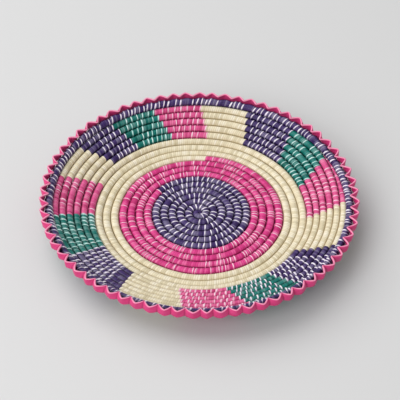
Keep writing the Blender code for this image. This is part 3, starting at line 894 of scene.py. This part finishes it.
class BasketSizes(bpy.types.PropertyGroup):
    """Sizes of the leaf, the stitches and the edging."""

    leaf_width: FloatProperty(
        name="Leaf width", description="Width of the strips of leaf that are wrapped round the coil",
        default=0.0021, min=0.0005, unit="LENGTH", precision=5)
    leaf_dip: FloatProperty(
        name="Leaf dip", description="How far the wrap dips between two strips",
        default=0.00022, min=0.0, unit="LENGTH", precision=5)
    leaf_unevenness: FloatProperty(
        name="Leaf unevenness", description="How much flatter than others a strip may lie",
        default=0.0001, min=0.0, unit="LENGTH", precision=5)
    leaf_lean: FloatProperty(
        name="Leaf lean", description="How far a strip leans back along the coil on its way across it",
        default=-0.2, subtype="FACTOR", soft_min=-1.0, soft_max=1.0)
    row_squareness: FloatProperty(
        name="Row squareness", description="Shape of a row in section: 2 is round, more is squarer",
        default=2.35, min=2.0)
    stitch_width: FloatProperty(
        name="Stitch width", description="Width of a contrast stitch",
        default=0.00118, min=0.0002, unit="LENGTH", precision=5)
    tie_width: FloatProperty(
        name="Tie width", description="Width of the stitches that tie the edging to the rim",
        default=0.0015, min=0.0002, unit="LENGTH", precision=5)
    tie_lean: FloatProperty(
        name="Tie lean", description="How far the stitches on the rim lean back along the coil",
        default=-0.3, subtype="FACTOR", soft_min=-1.0, soft_max=1.0)
    stitch_thickness: FloatProperty(
        name="Stitch thickness", description="How far a contrast stitch stands above the wrap",
        default=0.00035, min=0.0001, unit="LENGTH", precision=5)
    edging_thickness: FloatProperty(
        name="Edging thickness", description="Thickness of the pleated strip",
        default=0.0019, min=0.0003, unit="LENGTH", precision=5)
    tip_reach: FloatProperty(
        name="Tip reach", description="From the middle of the rim coil out to the tips of the edging",
        default=0.0078, unit="LENGTH", precision=5)
    edging_unevenness: FloatProperty(
        name="Edging unevenness", description="How far a fold may lie from its even place",
        default=0.00025, min=0.0, unit="LENGTH", precision=5)


class BasketColours(bpy.types.PropertyGroup):
    """Colours of the leaf. Each dye is also used a little darker and a little paler."""

    pink: FloatVectorProperty(
        name="Pink", description="Pink leaf of the wall", subtype="COLOR", size=3, default=linear("#DE5590"))
    ring_pink: FloatVectorProperty(
        name="Ring pink", description="Brighter pink leaf of the base", subtype="COLOR", size=3,
        default=linear("#DE3F8C"))
    rim_pink: FloatVectorProperty(
        name="Rim pink", description="Pink leaf of the edging", subtype="COLOR", size=3,
        default=linear("#EA5293"))
    green: FloatVectorProperty(
        name="Green", description="Green leaf", subtype="COLOR", size=3, default=linear("#05786F"))
    purple: FloatVectorProperty(
        name="Purple", description="Purple leaf", subtype="COLOR", size=3, default=linear("#432E6A"))
    natural: FloatVectorProperty(
        name="Natural", description="Undyed leaf", subtype="COLOR", size=3, default=linear("#E6DBBD"))
    stitch: FloatVectorProperty(
        name="Stitch", description="Bleached leaf of the contrast stitches", subtype="COLOR", size=3,
        default=linear("#F0E8F4"))
    pink_stitch: FloatVectorProperty(
        name="Pink stitch", description="The same, stained by pink dye", subtype="COLOR", size=3,
        default=linear("#F7C8DC"))
    green_stitch: FloatVectorProperty(
        name="Green stitch", description="The same, stained by green dye", subtype="COLOR", size=3,
        default=linear("#C6ECE6"))


def wrap(context, node, colour, runs, place, material, seed):
    """Wrap a stretch of the coil in leaf of a colour, and let it stand for a solid of the model."""
    sizes = context.scene.basket_sizes
    name = node.replace("_wrap", "_leaf")
    on_rim = place is rim_place
    path = path_mesh(name, in_steps(runs, TOOTH_STEP if on_rim else PATH_STEP), place)
    piece = grow(name, path, "Wrapped coil", {
        "Leaf width": sizes.leaf_width, "Lean": sizes.leaf_lean, "Dip": sizes.leaf_dip,
        "Unevenness": sizes.leaf_unevenness, "Seed": seed, "Material": material,
        "Squareness": ROUND if on_rim else sizes.row_squareness})
    keep(piece, f"{colour}_leaf", node)


def stitch(context, name, runs, place, material, seed, width, missing):
    """Sew stitches over stretches of the coil, one at the end of each step."""
    sizes = context.scene.basket_sizes
    on_rim = place is rim_place
    piece = grow(name, path_mesh(name, runs, place), "Stitches", {
        "Stitch width": width, "Thickness": sizes.stitch_thickness,
        "Lean": sizes.tie_lean if on_rim else sizes.leaf_lean,
        "Squareness": ROUND if on_rim else sizes.row_squareness, "Wander": STITCH_WANDER,
        "Twist": STITCH_TWIST, "Missing": missing, "Seed": seed, "Material": material})
    keep(piece, "natural_leaf")


def wall_blocks():
    """Name, colour and winding angles of the runs of each colour block, one run to a row."""
    for change in range(len(COLOUR_CHANGES)):
        side, place = divmod(change, len(LEAF_COLOURS))
        rows = WALL_ROWS if change <= LAST_FULL_BLOCK else WALL_ROWS - 1
        runs = [(change_angle(change, row), change_angle(change + 1, row)) for row in range(rows)]
        yield f"{LEAF_COLOURS[place]}_wrap_{WALL_SIDES[side]}", LEAF_COLOURS[place], runs


class BASKET_OT_base_wraps(bpy.types.Operator):
    """Wrap the purple middle of the base and the pink and natural rings round it"""

    bl_idname = "basket.base_wraps"
    bl_label = "Base Wraps"

    def execute(self, context):
        colours = context.scene.basket_colours
        centre = dyed_leaf("dyed_palm_leaf_purple_centre", colours.purple, GROOVE_SHADES["centre"])
        ring = dyed_leaf("dyed_palm_leaf_ring_pink", colours.ring_pink, GROOVE_SHADES["ring"])
        natural = natural_leaf("undyed_palm_leaf_ring", colours.natural)
        for seed, (node, colour, start, end, material) in enumerate((
                ("purple_centre_wrap", "purple", CENTRE_START, PURPLE_END, centre),
                ("pink_ring_wrap", "pink", PURPLE_END, PINK_END, ring),
                ("natural_ring_wrap", "natural", PINK_END, change_angle(0, 0), natural)), BASE_SEED):
            wrap(context, node, colour, [(start, end)], coil_place, material, seed)
        return {"FINISHED"}


class BASKET_OT_wall_blocks(bpy.types.Operator):
    """Wrap the sixteen colour blocks of the wall"""

    bl_idname = "basket.wall_blocks"
    bl_label = "Wall Blocks"

    def execute(self, context):
        colours = context.scene.basket_colours
        materials = {key: dyed_leaf(f"dyed_palm_leaf_{key}", getattr(colours, key), GROOVE_SHADES[key])
                     for key in ("pink", "green", "purple")}
        materials["natural"] = natural_leaf("undyed_palm_leaf", colours.natural)
        for seed, (node, colour, runs) in enumerate(wall_blocks(), BLOCK_SEED):
            wrap(context, node, colour, runs, coil_place, materials[colour], seed)
        return {"FINISHED"}


class BASKET_OT_rim_coil(bpy.types.Operator):
    """Wrap the purple coil on the rim"""

    bl_idname = "basket.rim_coil"
    bl_label = "Rim Coil"

    def execute(self, context):
        purple = dyed_leaf("dyed_palm_leaf_purple_rim", context.scene.basket_colours.purple, GROOVE_SHADES["rim"])
        run = (RIM_SEAM, RIM_SEAM + TEETH)
        wrap(context, "rim_coil_wrap", "purple", [run], rim_place, purple, RIM_SEED)
        return {"FINISHED"}


class BASKET_OT_edging(bpy.types.Operator):
    """Fold the pleated edging on the rim"""

    bl_idname = "basket.edging"
    bl_label = "Pleated Edging"

    def execute(self, context):
        sizes = context.scene.basket_sizes
        pink = context.scene.basket_colours.rim_pink
        # A paler top, partly the cut edge and partly a painted highlight, and painted shade in the creases
        material = leaf_material("dyed_palm_leaf_edging", pink, EDGING_LEAF,
                                 mixed(pink, WHITE, EDGING_TOP_TINT_AND_HIGHLIGHT), deepened(pink, EDGING_CREASE_SHADE))
        piece = grow("edging_leaf", fold_mesh(), "Pleated strip", {
            "Thickness": sizes.edging_thickness, "Tip reach": sizes.tip_reach,
            "Unevenness": sizes.edging_unevenness, "Seed": EDGING_SEED, "Material": material})
        keep(piece, "pink_leaf", "zigzag_edging")
        return {"FINISHED"}


class BASKET_OT_stitches(bpy.types.Operator):
    """Sew the pale stitches over the dyed rows, the base and the rim"""

    bl_idname = "basket.stitches"
    bl_label = "Contrast Stitches"

    def execute(self, context):
        sizes = context.scene.basket_sizes
        width = sizes.stitch_width
        colours = context.scene.basket_colours
        materials = {}
        # Towards the groove a stitch gets painted shade, tinted with the dye of the wrap
        for key, dye in (
                ("stitch", colours.purple), ("pink_stitch", colours.pink), ("green_stitch", colours.green)):
            pale = getattr(colours, key)
            for finish in (STITCH_LEAF, NEAR_STITCH_LEAF):
                materials[key, finish] = leaf_material(
                    f"bleached_palm_leaf_{key}", pale, finish, mixed(pale, dye, STITCH_SHADE_DYE))
        bleached = materials["stitch", STITCH_LEAF]
        pinkish = materials["pink_stitch", STITCH_LEAF]
        for seed, (node, colour, runs) in enumerate(wall_blocks(), BLOCK_STITCH_SEED):
            if node not in STITCHED_BLOCKS:
                continue
            plain, missing, breadth, key = STITCHED_BLOCKS[node]
            sewn = in_steps([(start + FIRST_STITCH, end - plain) for start, end in runs], STITCH_STEP)
            finish = NEAR_STITCH_LEAF if node.endswith("near") else STITCH_LEAF
            stitch(context, node.replace("_wrap", "_stitches"), sewn, coil_place, materials[key, finish],
                   seed, width * breadth, missing)
        ring = turns_in_steps(PURPLE_END + FIRST_STITCH, PINK_END, RING_SPACING)
        centre = turns_in_steps(CENTRE_START + 360, PURPLE_END, CENTRE_SPACING)
        stitch(context, "pink_ring_stitches", ring, coil_place, pinkish, RING_STITCH_SEED,
               width * RING_BREADTH, MISSING_ON_RING)
        stitch(context, "purple_centre_stitches", centre, coil_place, bleached, CENTRE_STITCH_SEED, width,
               MISSING_IN_CENTRE)

        # The valleys are halfway between the teeth. A run has one stitch to a tooth.
        ties = [(0.5, TEETH - 0.5, TEETH - 1)]
        pockets = [(share - 0.5, share + TEETH - 1.5, TEETH - 1) for share in POCKET_PLACES]
        stitch(context, "rim_ties", ties, rim_place, bleached, TIE_SEED, sizes.tie_width, 0.0)
        stitch(context, "rim_stitches", pockets, rim_place, bleached, POCKET_SEED, width, MISSING_IN_POCKETS)
        return {"FINISHED"}


class BASKET_OT_straw(bpy.types.Operator):
    """Lay the bundle of straw through the spiral and through the coil on the rim"""

    bl_idname = "basket.straw"
    bl_label = "Straw"

    def execute(self, context):
        straw = dry_straw()
        spiral = (CENTRE_START + STRAW_START, 360 * (WALL_ROWS - 1) + TAPER_ANGLES[-1] - STRAW_END)
        rim = (RIM_SEAM + RIM_STRAW_END, RIM_SEAM + TEETH - RIM_STRAW_END)
        for name, run, place, step, node in (
                ("straw_core", spiral, coil_place, PATH_STEP, "straw_bundle"),
                ("rim_straw_core", rim, rim_place, TOOTH_STEP, "rim_straw")):
            path = path_mesh(name, in_steps([run], step), straw_in(place))
            piece = grow(name, path, "Wrapped coil", {
                "Leaf width": STEM_LENGTH, "Lean": 0.0, "Dip": 0.0, "Squareness": ROUND,
                "Unevenness": context.scene.basket_sizes.leaf_unevenness, "Seed": STRAW_SEED,
                "Material": straw})
            keep(piece, "straw", node)
        return {"FINISHED"}


class BASKET_OT_stage(bpy.types.Operator):
    """Set up the floor, the light and the camera"""

    bl_idname = "basket.stage"
    bl_label = "Stage"

    def execute(self, context):
        scene = context.scene
        bpy.ops.mesh.primitive_plane_add(size=FLOOR_SIZE, location=(0.0, 0.0, -FLOOR_GAP))
        floor = context.active_object
        floor.name = "floor"
        floor.data.materials.append(matt_paper())
        for name, place, size, power in LAMPS:
            lamp = bpy.data.lights.new(name, "AREA")
            lamp.energy = power
            lamp.size = size
            item = bpy.data.objects.new(name, lamp)
            turn = Vector(place).to_track_quat("Z", "Y").to_matrix()
            item.matrix_world = Matrix.Translation(place) @ turn.to_4x4()
            scene.collection.objects.link(item)
        world = bpy.data.worlds.new("soft_light")
        world.use_nodes = True
        sky = world.node_tree.nodes["Background"]
        sky.inputs["Color"].default_value = (*WHITE, 1.0)
        sky.inputs["Strength"].default_value = WORLD_STRENGTH
        scene.world = world
        camera_data = bpy.data.cameras.new("view")
        camera_data.lens = VIEW_LENS
        camera_data.shift_x, camera_data.shift_y = VIEW_SHIFT
        camera = bpy.data.objects.new("view", camera_data)
        direction = Vector((0.0, math.cos(VIEW_ELEVATION), -math.sin(VIEW_ELEVATION)))
        turn = direction.to_track_quat("-Z", "Y").to_matrix() @ Matrix.Rotation(VIEW_ROLL, 3, "Z")
        target = Vector((0.0, 0.0, VIEW_TARGET_HEIGHT))
        camera.matrix_world = Matrix.Translation(target - direction * VIEW_DISTANCE) @ turn.to_4x4()
        scene.collection.objects.link(camera)
        scene.camera = camera
        scene.view_settings.view_transform = "Standard"
        return {"FINISHED"}


OPERATORS = (
    BASKET_OT_stage, BASKET_OT_straw, BASKET_OT_base_wraps, BASKET_OT_wall_blocks, BASKET_OT_rim_coil,
    BASKET_OT_edging, BASKET_OT_stitches,
)


class BASKET_PT_build(bpy.types.Panel):
    """Buttons and sizes for building the basket"""

    bl_label = "Coiled Basket"
    bl_idname = "BASKET_PT_build"
    bl_space_type = "VIEW_3D"
    bl_region_type = "UI"
    bl_category = "Basket"

    def draw(self, context):
        for operator in OPERATORS:
            self.layout.operator(operator.bl_idname)
        for group in (context.scene.basket_sizes, context.scene.basket_colours):
            box = self.layout.box()
            for key in group.__annotations__:
                box.prop(group, key)


CLASSES = (BasketSizes, BasketColours, *OPERATORS, BASKET_PT_build)


def register():
    for item in CLASSES:
        bpy.utils.register_class(item)
    bpy.types.Scene.basket_sizes = PointerProperty(type=BasketSizes)
    bpy.types.Scene.basket_colours = PointerProperty(type=BasketColours)


def unregister():
    del bpy.types.Scene.basket_colours
    del bpy.types.Scene.basket_sizes
    for item in reversed(CLASSES):
        bpy.utils.unregister_class(item)


def main():
    """Build the whole scene."""
    register()
    wrapped_coil_tree()
    stitches_tree()
    pleated_strip_tree()
    bpy.ops.basket.stage()
    bpy.ops.basket.straw()
    bpy.ops.basket.base_wraps()
    bpy.ops.basket.wall_blocks()
    bpy.ops.basket.rim_coil()
    bpy.ops.basket.edging()
    bpy.ops.basket.stitches()


if __name__ == "__main__":
    main()
